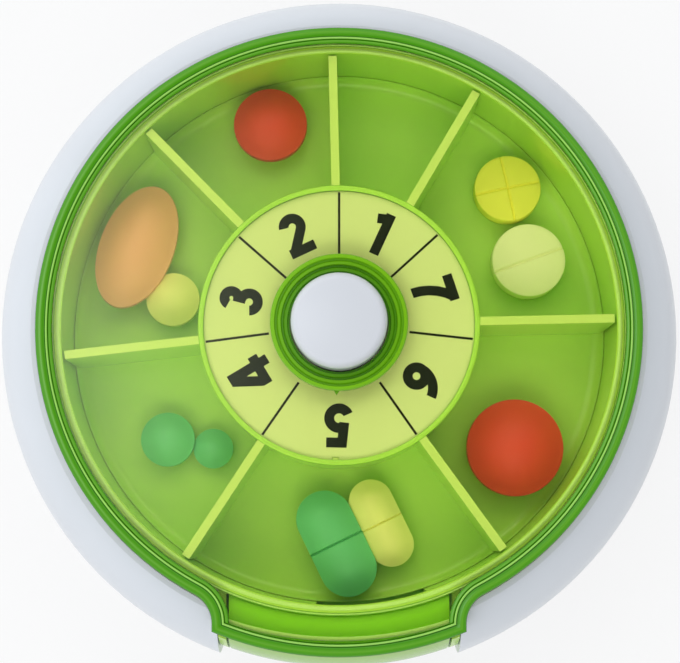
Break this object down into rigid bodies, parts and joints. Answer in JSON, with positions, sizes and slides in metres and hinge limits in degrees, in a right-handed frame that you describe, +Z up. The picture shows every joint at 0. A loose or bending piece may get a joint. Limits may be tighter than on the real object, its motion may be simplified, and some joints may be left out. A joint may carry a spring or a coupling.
{
  "type": "push-button pill box",
  "caption": "Round pill box with a domed white base, a clear green keyhole lid, a turning tray of numbered compartments, a central push button and an outlet door at the front.",
  "frame": {"origin": "centre of the foot, on the surface that the box stands on", "axes": "+Z up along the button's axis, the outlet towards -Y"},
  "size_m": [0.1, 0.0989, 0.0292],
  "materials": {
    "white_shell": "satin moulded plastic",
    "white_button": "polished moulded plastic",
    "white_mechanism": "plain moulded plastic",
    "pale_slider": "self-lubricating plastic",
    "green_tray": "tinted moulded plastic",
    "green_liner": "tinted moulded plastic",
    "green_door": "tinted moulded plastic",
    "deep_green_bezel": "polished tinted plastic",
    "clear_green_lid": "clear tinted acrylic",
    "printed_label": "printed satin film",
    "spring_steel": "bright spring steel",
    "steel_pin": "ground steel",
    "zinc_screw": "zinc plated steel",
    "grey_rubber": "matt rubber"
  },
  "bodies": {
    "base": {"base_shell": "white_shell", "bottom_cover": "white_shell", "foot_ring": "grey_rubber", "cover_screws": "zinc_screw", "liner_ring": "green_liner", "centre_post": "white_mechanism", "post_screw": "zinc_screw", "thrust_washer": "pale_slider", "carousel_clip": "spring_steel", "detent_spring": "spring_steel", "detent_screw": "zinc_screw", "door_pin": "steel_pin", "return_spring": "spring_steel"},
    "lid": {"lid": "clear_green_lid", "button_bezel": "deep_green_bezel"},
    "carousel": {"carousel_tray": "green_tray", "ratchet_ring": "pale_slider", "number_label": "printed_label"},
    "drive": {"drive_sleeve": "pale_slider", "pawl_wheel": "pale_slider"},
    "button": {"button_cap": "white_button", "button_plunger": "white_mechanism", "drive_pins": "steel_pin"},
    "door": {"outlet_door": "green_door"}
  },
  "joints": [
    {"name": "button_press", "type": "slide", "parent": "base", "child": "button", "axis": [0, 0, -1], "range_m": [0, 0.004], "stiffness_N_per_m": 400, "springref_m": -0.003, "deforming": ["return_spring"]},
    {"name": "index_turn", "type": "hinge", "parent": "base", "child": "drive", "pos_m": [0, 0, 0.008], "axis": [0, 0, -1], "range_deg": [0, 51.5]},
    {"name": "carousel_turn", "type": "hinge", "parent": "base", "child": "carousel", "pos_m": [0, 0, 0.0084], "axis": [0, 0, -1], "continuous": true},
    {"name": "lid_lift", "type": "slide", "parent": "base", "child": "lid", "axis": [0, 0, 1], "range_m": [0, 0.03]},
    {"name": "door_open", "type": "hinge", "parent": "base", "child": "door", "pos_m": [0, -0.045, 0.0081], "axis": [1, 0, 0], "range_deg": [0, 80]}
  ],
  "couplings": [
    {"joint": "index_turn", "follows": "button_press", "rad_per_m": 224.4}
  ]
}
